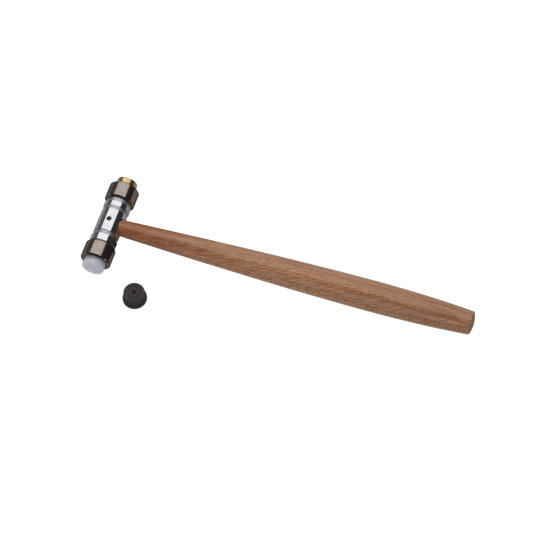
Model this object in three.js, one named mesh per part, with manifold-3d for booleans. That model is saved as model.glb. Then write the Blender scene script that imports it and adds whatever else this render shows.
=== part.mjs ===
// Hammer with interchangeable striking faces, lying on the bench beside its spare rubber face.
// Millimetres, +Z up. The head lies along Y, the handle runs along +X from the head's middle.
// A screw collar at each end of the barrel clamps a flanged face on the end of a threaded spigot.

import * as THREE from 'three';
import { mergeVertices } from 'three/addons/utils/BufferGeometryUtils.js';
import Module from 'manifold-3d';

const wasm = await Module();
wasm.setup();

// Fits
const seatGap = 0.3; // play between a piece and the seat that holds it
const lipGap = 0.15; // play between the widest face and the collar's mouth

// Handle, turned along X from inside the head's eye to the butt
const tenonRadius = 4.9;
const tenonReach = 3.4; // how far the tenon runs past the head's axis
const tenonChamfer = 0.6;
const neckLead = 0.3; // straight neck that shows outside the barrel
const swellLength = 148.0; // from the neck to the belly
const bellyRadius = 8.97;
const trailLength = 58.8; // from the belly to the rounded butt
const buttRadius = 6.8;
const buttRound = 1.3;
const buttDome = 0.9;
const neckSlope = 0.034;
const buttSlope = 0.085;

// How much of its span each end of a handle curve holds its direction
const neckFullness = 0.135;
const bellyFullness = 0.405;
const trailFullness = 0.5;
const buttFullness = 0.17;

// Head barrel, measured from the middle of the head outwards
const eyeWall = 2.5; // metal above and below the handle's eye
const middleHalfLength = 7.5;
const grooveWidth = 1.7;
const grooveDepth = 0.4;
const grooveWall = 0.35; // length of the groove's sloping wall
const bandRise = 0.25; // how far the end bands stand above the middle
const bandLength = 3.0;
const shoulderLength = 1.5;
const shoulderDrop = 0.55; // how far the shoulder's cone falls from the band
const neckLength = 2.0; // thread relief between shoulder and thread
const neckRelief = 0.65;
const threadLength = 6.3;
const threadLead = 0.6; // chamfer at the start of the thread
const edgeBreak = 0.25; // broken edge of a turned metal piece

// Striking faces, alike but for the width of the face
const brassFaceRadius = 6.1;
const brassEdge = 0.35;
const nylonFaceRadius = 6.4;
const nylonEdge = 0.7;
const rubberFaceRadius = 6.1;
const rubberEdge = 0.5;
const faceProud = 4.7; // how far a face stands out of its collar
const flangeHold = 0.5; // how far the flange reaches under the collar's lip
const flangeThickness = 1.8;
const flangeBreak = 0.3;
const dimpleRadius = 1.45; // moulded dimple in the middle of the rubber face
const dimpleDepth = 0.9;

// Screw collars, whose thread is drawn as a plain cylinder at its middle
const threadOver = 0.3; // how much wider the thread is than the flange that passes it
const collarWall = 1.35;
const collarStandoff = 1.4; // bare neck between shoulder and tightened collar
const collarChamfer = 0.85;
const chamferShare = 0.6; // most of the wall that a chamfer may take
const lipThickness = 1.2;

// Cross pin, sunk below the barrel's skin at both ends
const pinRadius = 0.95;
const pinSink = 1.2;
const pinChamfer = 0.2;

// Where the spare face stands, from the crossing of head and handle
const spareAlong = 27.5;
const spareAside = 36.8;

// Fineness of the facets
const facets = 40;
const pinFacets = 20;
const sweepSteps = 9; // along each of the handle's curves
const roundSteps = 3; // along a rounded edge

// Radii that follow from the sizes above
const eyeRadius = tenonRadius + seatGap;
const middleRadius = eyeRadius + eyeWall;
const bandRadius = middleRadius + bandRise;
const pinHoleRadius = pinRadius + seatGap;
const collarMouth = Math.max(brassFaceRadius, nylonFaceRadius, rubberFaceRadius) + lipGap;
const flangeRadius = collarMouth + flangeHold;
const threadRadius = flangeRadius + threadOver;
const collarBore = threadRadius + seatGap;
const collarRadius = collarBore + collarWall;
const restHeight = Math.max(collarRadius, bellyRadius);
const drillReach = 2 * bandRadius; // clear of the barrel on both sides

// Stations along the head's axis
const bandStart = middleHalfLength + grooveWidth;
const bandEnd = bandStart + bandLength;
const shoulderEnd = bandEnd + shoulderLength;
const threadStart = shoulderEnd + neckLength;
const spigotEnd = threadStart + threadLength;
const insertBase = spigotEnd + seatGap;
const lipInside = insertBase + flangeThickness + seatGap;
const collarInnerEnd = shoulderEnd + collarStandoff;
const collarOuterEnd = lipInside + lipThickness;
const faceReach = collarOuterEnd + faceProud;
const insertLength = faceReach - insertBase;

// Stations along the handle's axis
const eyeReach = tenonReach + seatGap;
const neckStart = middleRadius + neckLead;
const bellyAt = neckStart + swellLength;
const buttStart = bellyAt + trailLength;
const handleEnd = buttStart + buttRound + buttDome;

// Outlines are [radius, height] steps, turned about the piece's own axis.
function turned(outline, steps = roundSteps, sides = facets) {
  const lathe = new THREE.LatheGeometry(outline.getPoints(steps), sides);
  return closedBody(lathe);
}

function outlineFrom(steps) {
  const outline = new THREE.Path();
  outline.moveTo(...steps[0]);
  for (const step of steps.slice(1)) {
    outline.lineTo(...step);
  }
  return outline;
}

// Welds the lathe's seam and drops the triangles that collapse on its axis.
function closedBody(geometry) {
  geometry.deleteAttribute('normal');
  geometry.deleteAttribute('uv');
  const welded = mergeVertices(geometry);
  const corners = welded.index.array;
  const kept = [];
  for (let i = 0; i < corners.length; i += 3) {
    const [a, b, c] = corners.slice(i, i + 3);
    if (a !== b && b !== c && c !== a) {
      kept.push(a, b, c);
    }
  }
  welded.setIndex(kept);
  welded.computeVertexNormals();
  return welded;
}

function toSolid(geometry) {
  const vertProperties = geometry.attributes.position.array;
  const triVerts = Uint32Array.from(geometry.index.array);
  return new wasm.Manifold(new wasm.Mesh({ numProp: 3, vertProperties, triVerts }));
}

function cut(geometry, ...tools) {
  let body = toSolid(geometry);
  for (const tool of tools) {
    body = body.subtract(toSolid(tool));
  }
  const mesh = body.getMesh();
  const result = new THREE.BufferGeometry();
  result.setAttribute('position', new THREE.BufferAttribute(mesh.vertProperties, 3));
  result.setIndex(new THREE.BufferAttribute(mesh.triVerts, 1));
  result.computeVertexNormals();
  return result;
}

function drill(radius, from, to, sides) {
  const outline = outlineFrom([[0, from], [radius, from], [radius, to], [0, to]]);
  return turned(outline, roundSteps, sides);
}

function piece(name, geometry, material) {
  const mesh = new THREE.Mesh(geometry, material);
  mesh.name = name;
  return mesh;
}

function finish(color, metalness, roughness) {
  return new THREE.MeshStandardMaterial({ color, metalness, roughness });
}

// Steps of one half of the barrel, from its middle to the end of the spigot.
function barrelHalf() {
  const grooveRadius = middleRadius - grooveDepth;
  const neckRadius = threadRadius - neckRelief;
  return [
    [middleRadius, middleHalfLength],
    [grooveRadius, middleHalfLength + grooveWall],
    [grooveRadius, bandStart - grooveWall],
    [bandRadius - edgeBreak, bandStart],
    [bandRadius, bandStart + edgeBreak],
    [bandRadius, bandEnd],
    [bandRadius - shoulderDrop, shoulderEnd],
    [neckRadius, shoulderEnd],
    [neckRadius, threadStart],
    [threadRadius, threadStart],
    [threadRadius, spigotEnd - threadLead],
    [threadRadius - threadLead, spigotEnd],
    [0, spigotEnd],
  ];
}

function barrelGeometry() {
  const half = barrelHalf();
  const mirrored = half.map(([radius, along]) => [radius, -along]).reverse();
  const blank = turned(outlineFrom([...mirrored, ...half]));
  const eye = drill(eyeRadius, -eyeReach, drillReach, facets);
  eye.rotateZ(-Math.PI / 2);
  return cut(blank, eye, pinHole());
}

function pinHole() {
  const hole = drill(pinHoleRadius, -drillReach, drillReach, pinFacets);
  hole.rotateX(Math.PI / 2);
  return hole;
}

function pinGeometry() {
  const half = middleRadius - pinSink;
  const pin = turned(outlineFrom([
    [0, -half],
    [pinRadius - pinChamfer, -half],
    [pinRadius, pinChamfer - half],
    [pinRadius, half - pinChamfer],
    [pinRadius - pinChamfer, half],
    [0, half],
  ]), roundSteps, pinFacets);
  return pin.rotateX(Math.PI / 2);
}

// A long taper swells from the neck to the belly, then draws in to a rounded, slightly domed butt.
function handleGeometry() {
  const outline = outlineFrom([
    [0, -tenonReach],
    [tenonRadius - tenonChamfer, -tenonReach],
    [tenonRadius, tenonChamfer - tenonReach],
    [tenonRadius, neckStart],
  ]);
  const neckHold = neckFullness * swellLength;
  outline.bezierCurveTo(
    tenonRadius + neckSlope * neckHold, neckStart + neckHold,
    bellyRadius, bellyAt - bellyFullness * swellLength,
    bellyRadius, bellyAt,
  );
  const buttHold = buttFullness * trailLength;
  outline.bezierCurveTo(
    bellyRadius, bellyAt + trailFullness * trailLength,
    buttRadius + buttSlope * buttHold, buttStart - buttHold,
    buttRadius, buttStart,
  );
  const domeRadius = buttRadius - buttRound;
  outline.quadraticCurveTo(buttRadius, buttStart + buttRound, domeRadius, buttStart + buttRound);
  outline.quadraticCurveTo(domeRadius / 2, handleEnd, 0, handleEnd);
  const blank = turned(outline, sweepSteps);
  blank.rotateZ(-Math.PI / 2);
  return cut(blank, pinHole());
}

// A flanged face standing on its base at height 0, its edge rounded over.
function insertOutline(faceRadius, edge) {
  const outline = outlineFrom([
    [0, 0],
    [flangeRadius - flangeBreak, 0],
    [flangeRadius, flangeBreak],
    [flangeRadius, flangeThickness - flangeBreak],
    [flangeRadius - flangeBreak, flangeThickness],
    [faceRadius, flangeThickness],
    [faceRadius, insertLength - edge],
  ]);
  outline.quadraticCurveTo(faceRadius, insertLength, faceRadius - edge, insertLength);
  return outline;
}

function plainInsert(faceRadius, edge) {
  const outline = insertOutline(faceRadius, edge);
  outline.lineTo(0, insertLength);
  return turned(outline);
}

function dimpledInsert(faceRadius, edge) {
  const outline = insertOutline(faceRadius, edge);
  outline.lineTo(dimpleRadius, insertLength);
  outline.quadraticCurveTo(dimpleRadius, insertLength - dimpleDepth, 0, insertLength - dimpleDepth);
  return turned(outline);
}

// A cap ring: threaded skirt over the spigot, inward lip over the face's flange.
function collarGeometry() {
  const chamfer = Math.min(collarChamfer, chamferShare * collarWall);
  return turned(outlineFrom([
    [collarBore + edgeBreak, collarInnerEnd],
    [collarRadius - chamfer, collarInnerEnd],
    [collarRadius, collarInnerEnd + chamfer],
    [collarRadius, collarOuterEnd - chamfer],
    [collarRadius - chamfer, collarOuterEnd],
    [collarMouth + edgeBreak, collarOuterEnd],
    [collarMouth, collarOuterEnd - edgeBreak],
    [collarMouth, lipInside],
    [collarBore, lipInside],
    [collarBore, collarInnerEnd + edgeBreak],
    [collarBore + edgeBreak, collarInnerEnd],
  ]));
}

// Finishes
const chromedSteel = finish(0xd9dbde, 1.0, 0.12);
const blackNickel = finish(0x3c3835, 1.0, 0.22);
const turnedBrass = finish(0xc9a45c, 1.0, 0.28);
const whiteNylon = finish(0xd9d9e2, 0.0, 0.45);
const blackRubber = finish(0x2c2a2b, 0.0, 0.8);
const stainedWood = finish(0x94593c, 0.0, 0.4);
const dullSteel = finish(0x5a5754, 1.0, 0.45);

// One end of the head: a face on the spigot's end, held by its collar.
function headEnd(faceName, face, faceFinish, collarName) {
  const end = new THREE.Group();
  const insert = piece(faceName, face, faceFinish);
  insert.position.y = insertBase;
  end.add(insert, piece(collarName, collarGeometry(), blackNickel));
  return end;
}

const head = new THREE.Group();
head.add(piece('head_barrel', barrelGeometry(), chromedSteel));
head.add(piece('cross_pin', pinGeometry(), dullSteel));
const brassFace = plainInsert(brassFaceRadius, brassEdge);
head.add(headEnd('brass_insert', brassFace, turnedBrass, 'brass_collar'));
const nylonFace = plainInsert(nylonFaceRadius, nylonEdge);
const nylonEnd = headEnd('nylon_insert', nylonFace, whiteNylon, 'nylon_collar');
nylonEnd.rotation.z = Math.PI;
head.add(nylonEnd);

const spare = piece('rubber_insert', dimpledInsert(rubberFaceRadius, rubberEdge), blackRubber);
spare.rotation.x = Math.PI / 2;
spare.position.set(spareAlong, -spareAside, -restHeight);

// The origin is under the middle of everything, on the bench.
const leastY = -Math.max(faceReach, spareAside + flangeRadius);
const hammer = new THREE.Group();
hammer.add(head, piece('handle', handleGeometry(), stainedWood), spare);
hammer.position.set((collarRadius - handleEnd) / 2, -(faceReach + leastY) / 2, restHeight);

export default hammer;
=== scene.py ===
"""Dresses a hammer with interchangeable striking faces, which lies on a pale bench beside its spare face.

Every sub-assembly is a class whose fields are sizes in millimetres, and its places come from the frame.
Each turned piece has its own axis along local Z, so that its finish can follow the lathe.
"""

import logging
import math
from abc import ABC, abstractmethod
from collections.abc import Sequence
from dataclasses import dataclass, field
from enum import Enum

import bmesh
import bpy
from mathutils import Matrix, Vector


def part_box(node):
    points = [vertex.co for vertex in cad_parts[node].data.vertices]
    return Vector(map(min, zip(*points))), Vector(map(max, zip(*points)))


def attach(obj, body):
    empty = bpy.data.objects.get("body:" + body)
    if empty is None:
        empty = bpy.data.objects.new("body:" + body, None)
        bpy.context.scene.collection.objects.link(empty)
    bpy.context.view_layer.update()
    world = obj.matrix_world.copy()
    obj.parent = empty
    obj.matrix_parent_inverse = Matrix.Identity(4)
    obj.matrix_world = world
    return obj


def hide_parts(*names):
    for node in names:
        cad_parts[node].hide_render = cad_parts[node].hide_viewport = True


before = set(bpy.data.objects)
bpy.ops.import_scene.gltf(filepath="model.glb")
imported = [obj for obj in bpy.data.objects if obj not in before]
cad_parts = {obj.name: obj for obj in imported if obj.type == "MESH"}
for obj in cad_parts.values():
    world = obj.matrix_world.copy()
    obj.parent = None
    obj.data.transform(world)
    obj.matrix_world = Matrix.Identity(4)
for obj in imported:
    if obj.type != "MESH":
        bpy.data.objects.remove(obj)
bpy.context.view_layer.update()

LOG = logging.getLogger("hammer")

MM = 0.001
SEGMENTS = 128  # facets round a turned piece
TURNS = [math.tau * step / SEGMENTS for step in range(SEGMENTS + 1)]
ARC_STEPS = 4  # facets along a rounded corner
CURVE_STEPS = 72  # facets along each of the handle's sweeps
HOLD = 0.03  # straight run in millimetres kept beside a rounded corner, so that flats shade flat
CORNER_ROOM = 0.48  # share of the shorter side that a rounded corner may take up
SHARP_ANGLE = math.radians(38)
WELD = 0.5e-6  # metres within which points are the same point

Point = tuple[float, float]
Span = tuple[float, float]
Size = tuple[float, float]
Ring = list[Point]
Colour = tuple[float, float, float, float]
Inputs = dict[str | int, object]
Object = bpy.types.Object
Mesh = bpy.types.Mesh
Tree = bpy.types.NodeTree
Socket = bpy.types.NodeSocket


class Body(Enum):
    """The bodies of the frame that pieces ride on."""

    HAMMER = "hammer"
    BRASS_FACE = "brass_face"
    BRASS_COLLAR = "brass_collar"
    NYLON_FACE = "nylon_face"
    NYLON_COLLAR = "nylon_collar"
    RUBBER_FACE = "rubber_face"


class Slot(Enum):
    """The record's material slots."""

    CHROME = "chromed_steel"
    PIN = "pin_steel"
    WOOD = "handle_wood"
    BRASS = "turned_brass"
    NICKEL = "black_nickel"
    NYLON = "white_nylon"
    RUBBER = "black_rubber"


class Shine(Enum):
    """What a light acts on: matt and polished surfaces alike, or only one kind."""

    ALL = (True, True)
    MATT = (True, False)
    POLISHED = (False, True)


class Facing(Enum):
    """Which way a softbox shines, given by the directions of its width and of its length."""

    DOWN = ((1, 0, 0), (0, 1, 0))
    TO_BACK = ((1, 0, 0), (0, 0, 1))
    TO_FRONT = ((1, 0, 0), (0, 0, -1))
    TO_RIGHT = ((0, 1, 0), (0, 0, -1))


class Side(Enum):
    """Which way a screw thread faces: out of a spigot, or into a collar."""

    OUTSIDE = 1.0
    INSIDE = -1.0


# Turning

@dataclass(frozen=True)
class Corner:
    """One corner of a turned outline, in millimetres.

    Attributes:
        radius: Distance from the axis.
        station: Distance along the axis.
        round: Radius of the rounded corner, or 0 for a sharp one.
    """

    radius: float
    station: float
    round: float = 0.0

    @property
    def at(self) -> Vector:
        """The corner as a point of the outline's plane."""
        return Vector((self.radius, self.station))


@dataclass(frozen=True)
class Thread:
    """A right-hand screw thread, whose ridges keep their place along the head's axis.

    Attributes:
        side: Whether it is cut on a spigot or in a collar.
        start: Station of its first end, in millimetres.
        end: Station of its other end.
        crest: Radius of the ridge's top.
        root: Radius of the groove's floor.
        first: Radius that the thread runs out to at its first end.
        last: Radius that it runs out to at its other end.
        pitch: Advance in one turn.
        crest_width: Flat on the ridge's top.
        flank_width: Length of each flank along the axis.
    """

    side: Side
    start: float
    end: float
    crest: float
    root: float
    first: float
    last: float
    pitch: float = 1.0
    crest_width: float = 0.125
    flank_width: float = 0.3175

    def profile(self) -> list[Point]:
        """The ridge over one pitch.

        Returns:
            Steps as (distance along the axis, radius), starting at the ridge's first edge.
        """
        half = self.crest_width / 2
        foot = half + self.flank_width
        middle = (self.crest + self.root) / 2
        beside = half + self.flank_width / 2
        return [
            (-half, self.crest),
            (half, self.crest),
            (beside, middle),
            (foot, self.root),
            (self.pitch - foot, self.root),
            (self.pitch - beside, middle),
        ]

    def limited(self, radius: float, station: float) -> float:
        """Runs the thread out at its ends along 45 degree cones.

        Args:
            radius: The full thread's radius.
            station: Where along the axis.

        Returns:
            The radius that is cut.
        """
        sign = self.side.value
        from_first = sign * self.first + (station - self.start)
        from_last = sign * self.last + (self.end - station)
        return sign * min(sign * radius, from_first, from_last)

    def rings(self) -> list[Ring]:
        """Rows of points that follow the ridge, each one turn long and cut off at both ends.

        Returns:
            The rows from the first end to the other.
        """
        shift = 0.0 if self.side is Side.OUTSIDE else self.pitch / 2
        # Two turns more at either end than the thread needs, of which those outside are dropped.
        lowest = math.floor(self.start / self.pitch) - 2
        highest = math.ceil(self.end / self.pitch) + 2
        bases = [
            (turn * self.pitch + shift + along, radius)
            for turn in range(lowest, highest)
            for along, radius in self.profile()
        ]
        return [self._row(*base) for base in bases if self.start - self.pitch < base[0] < self.end]

    def _row(self, base: float, radius: float) -> Ring:
        """One row of points, which climbs a pitch in a turn.

        Args:
            base: The station that it starts from.
            radius: The full thread's radius there.

        Returns:
            The row, cut off at the thread's ends.
        """
        row = []
        for step in range(SEGMENTS + 1):
            climbed = base + self.pitch * step / SEGMENTS
            station = min(max(climbed, self.start), self.end)
            row.append((self.limited(radius, station), station))
        return row


def rounded_outline(corners: Sequence[Corner]) -> list[Point]:
    """Rounds the corners of an outline between its two sharp ends.

    Args:
        corners: The corners in order.

    Returns:
        Points as (radius, station), with arcs at the rounded corners.
    """
    points: list[Point] = []
    for index, corner in enumerate(corners):
        if corner.round > 0:
            points.extend(_arc(corners[index - 1], corner, corners[index + 1]))
        else:
            points.append((corner.radius, corner.station))
    return points


def _arc(before: Corner, corner: Corner, after: Corner) -> list[Point]:
    """The arc that rounds a corner, with a short straight run kept on both sides.

    Args:
        before: The corner before it.
        corner: The corner to round.
        after: The corner after it.

    Returns:
        The arc's points.
    """
    back = before.at - corner.at
    ahead = after.at - corner.at
    room = CORNER_ROOM * min(back.length, ahead.length)
    back.normalize()
    ahead.normalize()
    half = back.angle(ahead) / 2
    reach = min(corner.round / math.tan(half), room)
    radius = reach * math.tan(half)
    centre = corner.at + (back + ahead).normalized() * (radius / math.sin(half))
    first = corner.at + back * reach - centre
    sweep = first.angle_signed(corner.at + ahead * reach - centre)
    found = []
    if reach + HOLD < room:
        found.append(corner.at + back * (reach + HOLD))
    for step in range(ARC_STEPS + 1):
        turn = Matrix.Rotation(-sweep * step / ARC_STEPS, 2)
        found.append(centre + turn @ first)
    if reach + HOLD < room:
        found.append(corner.at + ahead * (reach + HOLD))
    return [(point.x, point.y) for point in found]


def plain_rings(outline: Sequence[Point]) -> list[Ring]:
    """Turns each point of an outline into a ring, the same all the way round."""
    return [[point] * (SEGMENTS + 1) for point in outline]


def bezier(ends: tuple[Point, Point], holds: tuple[Point, Point], steps: int) -> list[Point]:
    """A cubic curve between two points of an outline.

    Args:
        ends: Its first and last point.
        holds: The points that it leaves towards and arrives from.
        steps: How many pieces it is cut into.

    Returns:
        The curve's points after its first.
    """
    places = [Vector(place) for place in (ends[0], *holds, ends[1])]
    found = []
    for step in range(1, steps + 1):
        t = step / steps
        shares = ((1 - t) ** 3, 3 * t * (1 - t) ** 2, 3 * t * t * (1 - t), t**3)
        point = sum((place * share for place, share in zip(places, shares)), Vector((0, 0)))
        found.append((point.x, point.y))
    return found


def axis_frame(centre: Vector, along: Vector, zero: Vector) -> Matrix:
    """Where a turned piece's own frame sits.

    Args:
        centre: The point at station 0, in metres.
        along: Direction of the piece's axis.
        zero: Direction in which the turning starts.

    Returns:
        The matrix that puts local Z along the axis and local X along the start.
    """
    side = along.cross(zero)
    rotation = Matrix((zero, side, along)).transposed()
    return Matrix.Translation(centre) @ rotation.to_4x4()


def turned_mesh(name: str, rings: Sequence[Ring], closed: bool = False) -> Mesh:
    """Skins a row of rings into one mesh about local Z, with a seam that is still open.

    Args:
        name: The mesh's name.
        rings: The rings in order, in millimetres.
        closed: Whether the last ring joins the first.

    Returns:
        The mesh, before welding.
    """
    points = []
    for ring in rings:
        for turn, (radius, station) in zip(TURNS, ring):
            place = Vector((radius * math.cos(turn), radius * math.sin(turn), station))
            points.append(place * MM)
    faces = []
    width = len(TURNS)
    for row in range(len(rings) if closed else len(rings) - 1):
        low = row * width
        high = (row + 1) % len(rings) * width
        for step in range(SEGMENTS):
            faces.append((low + step, low + step + 1, high + step + 1, high + step))
    mesh = bpy.data.meshes.new(name)
    mesh.from_pydata(points, [], faces)
    return mesh


def settle_mesh(mesh: Mesh) -> None:
    """Welds a mesh, points its faces out and marks its sharp edges.

    Args:
        mesh: The mesh, changed in place.
    """
    work = bmesh.new()
    work.from_mesh(mesh)
    bmesh.ops.remove_doubles(work, verts=work.verts, dist=WELD)
    bmesh.ops.dissolve_degenerate(work, edges=work.edges, dist=WELD)
    bmesh.ops.recalc_face_normals(work, faces=work.faces)
    for face in work.faces:
        face.smooth = True
    for edge in work.edges:
        edge.smooth = edge.calc_face_angle(0.0) < SHARP_ANGLE
    work.to_mesh(mesh)
    work.free()


def place_mesh(name: str, mesh: Mesh, where: Matrix) -> Object:
    """Puts a mesh in the scene.

    Args:
        name: The object's name.
        mesh: Its mesh.
        where: Its place in the row frame.

    Returns:
        The new object.
    """
    made = bpy.data.objects.new(name, mesh)
    made.matrix_world = where
    bpy.context.scene.collection.objects.link(made)
    return made


def turned_piece(name: str, rings: Sequence[Ring], where: Matrix, closed: bool = False) -> Object:
    """Turns a whole piece and puts it in place.

    Args:
        name: The piece's name.
        rings: Its rings in order, in millimetres.
        where: Its place in the row frame.
        closed: Whether the last ring joins the first.

    Returns:
        The piece.
    """
    mesh = turned_mesh(name, rings, closed)
    settle_mesh(mesh)
    return place_mesh(name, mesh, where)


def cut_away(body: Object, tools: Sequence[Object]) -> None:
    """Cuts closed tools out of a body, and removes the tools.

    Args:
        body: The object that is cut.
        tools: What is cut away.
    """
    for tool in tools:
        cutting = body.modifiers.new("cut", "BOOLEAN")
        cutting.operation = "DIFFERENCE"
        cutting.solver = "EXACT"
        cutting.object = tool
    bpy.context.view_layer.update()
    graph = bpy.context.evaluated_depsgraph_get()
    result = bpy.data.meshes.new_from_object(body.evaluated_get(graph))
    body.modifiers.clear()
    body.data = result
    for tool in tools:
        bpy.data.objects.remove(tool)
    settle_mesh(body.data)


def drill_tool(where: Matrix, barrel: float, radius: float, start: float, edge: float) -> Object:
    """A drill across a barrel, with a mouth that breaks the hole's saddle-shaped edge.

    Args:
        where: The drill's frame, with local X along the barrel's axis.
        barrel: The barrel's radius.
        radius: The hole's radius.
        start: Station of the hole's floor.
        edge: Width of the broken edge.

    Returns:
        The closed tool.
    """
    outside = 2 * barrel
    wide = radius + 2 * edge

    def saddle(width: float, lift: float) -> Ring:
        """A ring of that radius that keeps a height above the barrel's skin."""
        return [(width, math.sqrt(barrel**2 - (width * math.sin(turn)) ** 2) + lift) for turn in TURNS]

    rings = [
        *plain_rings([(0.0, start), (radius, start)]),
        saddle(radius, -edge),
        saddle(wide, edge),
        *plain_rings([(wide, outside), (0.0, outside)]),
    ]
    return turned_piece("drill", rings, where)


# Finishes

MIX_A = 6  # sockets of a Mix node that mixes colours
MIX_B = 7
MIX_RESULT = 2
WAVE_PHASE = 20.0  # radians that a wave texture of scale 1 goes through in one unit


def linear(colour: str) -> Colour:
    """Turns an sRGB hex colour to linear light.

    Args:
        colour: Such as "#a0a0a0".

    Returns:
        Red, green, blue and full alpha.
    """
    parts = [int(colour[i : i + 2], 16) / 255 for i in (1, 3, 5)]
    red, green, blue = (c / 12.92 if c <= 0.04045 else ((c + 0.055) / 1.055) ** 2.4 for c in parts)
    return red, green, blue, 1.0


def repeats(size: float) -> float:
    """How often a pattern of that size in millimetres fits in a metre."""
    return 1.0 / (size * MM)


def add_node(tree: Tree, kind: str, inputs: Inputs | None = None, **settings: object) -> bpy.types.Node:
    """Adds a node with its settings and links.

    Args:
        tree: The tree that it goes into.
        kind: The node's type, without its ShaderNode prefix.
        inputs: What its sockets take: a plain value, or the output that feeds them.
        settings: The node's own properties.

    Returns:
        The new node.
    """
    node = tree.nodes.new("ShaderNode" + kind)
    for name, value in settings.items():
        setattr(node, name, value)
    for name, value in (inputs or {}).items():
        if isinstance(value, Socket):
            tree.links.new(value, node.inputs[name])
        else:
            node.inputs[name].default_value = value
    return node


def from_axis(tree: Tree) -> tuple[Socket, Socket]:
    """Where a point of a turned piece lies.

    Args:
        tree: The material's tree.

    Returns:
        The point's distance from the piece's axis, and its station along it, in metres.
    """
    here = add_node(tree, "TexCoord").outputs["Object"]
    parts = add_node(tree, "SeparateXYZ", {"Vector": here}).outputs
    flat = add_node(tree, "CombineXYZ", {"X": parts["X"], "Y": parts["Y"]}).outputs["Vector"]
    radius = add_node(tree, "VectorMath", {0: flat}, operation="LENGTH").outputs["Value"]
    return radius, parts["Z"]


class Finish(ABC):
    """A material made of nodes round one shader."""

    name: str

    @abstractmethod
    def inputs(self, tree: Tree) -> Inputs:
        """Adds the finish's own nodes.

        Args:
            tree: The material's tree.

        Returns:
            What the shader's sockets take: plain values where the surface is the same all over, and
            outputs where it varies.
        """

    def material(self) -> bpy.types.Material:
        """Builds the material.

        Returns:
            The material, named for what it is and how it was made.
        """
        made = bpy.data.materials.new(self.name)
        made.use_nodes = True
        tree = made.node_tree
        tree.nodes.clear()
        shader = add_node(tree, "BsdfPrincipled", self.inputs(tree))
        add_node(tree, "OutputMaterial", {"Surface": shader.outputs["BSDF"]})
        return made


@dataclass(frozen=True)
class LatheLines:
    """Fine rings that a lathe tool or a polishing wheel leaves round a turned piece.

    Real ones lie a few hundredths of a millimetre apart, far below a pixel, so every finish draws
    them several times coarser.

    Attributes:
        spacing: Distance between lines, in millimetres.
        depth: Height of the lines, in millimetres.
    """

    spacing: float
    depth: float

    def build(self, tree: Tree) -> tuple[Socket, Socket]:
        """Adds the lines to a tree.

        Args:
            tree: The material's tree.

        Returns:
            The lines' height from 0 to 1, and the bumped normal.
        """
        radius, station = from_axis(tree)
        ring = add_node(tree, "CombineXYZ", {"X": radius, "Z": station}).outputs["Vector"]
        noise = {"Vector": ring, "Scale": repeats(self.spacing), "Detail": 3.0, "Roughness": 0.6}
        height = add_node(tree, "TexNoise", noise).outputs["Fac"]
        relief = {"Height": height, "Strength": 1.0, "Distance": self.depth * MM}
        return height, add_node(tree, "Bump", relief).outputs["Normal"]


@dataclass(frozen=True)
class TurnedMetal(Finish):
    """Turned metal, plated or bare: reflections as sharp as its polish, with faint rings round the axis.

    Attributes:
        name: Material and process.
        colour: What the metal does to white light.
        dull: The colour where a film of handling dulls it.
        smooth: Roughness of the bright parts.
        hazy: Roughness of the dull parts.
        lines: The rings of the tool or the polishing wheel.
        film_size: Size of the dull patches, in millimetres.
        film_levels: Noise levels where the film starts and where it is full.
        haze_levels: The same for the haze, which follows film and rings together.
        wheel_reach: Radius below which the polishing wheel leaves the plate satin, in millimetres.
        wheel_fade: Width of the change from satin to polished, in millimetres.
        satin: The colour of the satin plate, darker than real satin plate: painted shade in the grooves and
        on the shoulders.
        satin_rough: Its roughness.
        edge: What the metal does to light that glances off it.
    """

    name: str
    colour: str
    dull: str
    smooth: float
    hazy: float
    lines: LatheLines
    film_size: float = 5.0
    film_levels: Span = (0.45, 0.75)
    haze_levels: Span = (0.1, 0.45)
    wheel_reach: float = 0.0
    wheel_fade: float = 0.05
    satin: str = "#b4b5b9"
    satin_rough: float = 0.42
    edge: str = "#ffffff"

    def inputs(self, tree: Tree) -> Inputs:
        """Adds the metal's nodes.

        Args:
            tree: The material's tree.

        Returns:
            What the shader's sockets take.
        """
        height, normal = self.lines.build(tree)
        here = add_node(tree, "TexCoord").outputs["Object"]
        noise = {"Vector": here, "Scale": repeats(self.film_size), "Detail": 4.0, "Roughness": 0.55}
        film = add_node(tree, "TexNoise", noise).outputs["Fac"]
        low, high = self.film_levels
        patch = add_node(tree, "MapRange", {"Value": film, "From Min": low, "From Max": high})
        tints = {"Factor": patch.outputs["Result"], MIX_A: linear(self.colour), MIX_B: linear(self.dull)}
        colour = add_node(tree, "Mix", tints, data_type="RGBA").outputs[MIX_RESULT]
        grit = add_node(tree, "Math", {0: height, 1: film}, operation="MULTIPLY").outputs["Value"]
        low, high = self.haze_levels
        haze = {"Value": grit, "From Min": low, "From Max": high, "To Min": self.smooth, "To Max": self.hazy}
        rough = add_node(tree, "MapRange", haze).outputs["Result"]
        if self.wheel_reach > 0:
            colour, rough = self._satin(tree, colour, rough)
        return {
            "Metallic": 1.0,
            "Specular Tint": linear(self.edge),
            "Base Color": colour,
            "Roughness": rough,
            "Normal": normal,
        }

    def _satin(self, tree: Tree, colour: Socket, rough: Socket) -> tuple[Socket, Socket]:
        """Leaves the plate satin where the polishing wheel doesn't reach.

        Args:
            tree: The material's tree.
            colour: The polished plate's colour.
            rough: Its roughness.

        Returns:
            The whole plate's colour and roughness.
        """
        radius, _ = from_axis(tree)
        reach = self.wheel_reach * MM
        rim = {"Value": radius, "From Min": reach - self.wheel_fade * MM, "From Max": reach}
        polished = add_node(tree, "MapRange", rim).outputs["Result"]
        # The satin colour is darker than satin plate would be: painted shade in the grooves and on the
        # shoulders.
        tints = {"Factor": polished, MIX_A: linear(self.satin), MIX_B: colour}
        plate = add_node(tree, "Mix", tints, data_type="RGBA").outputs[MIX_RESULT]
        sheen = add_node(tree, "Mix", {"Factor": polished, "A": self.satin_rough, "B": rough})
        return plate, sheen.outputs["Result"]


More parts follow.
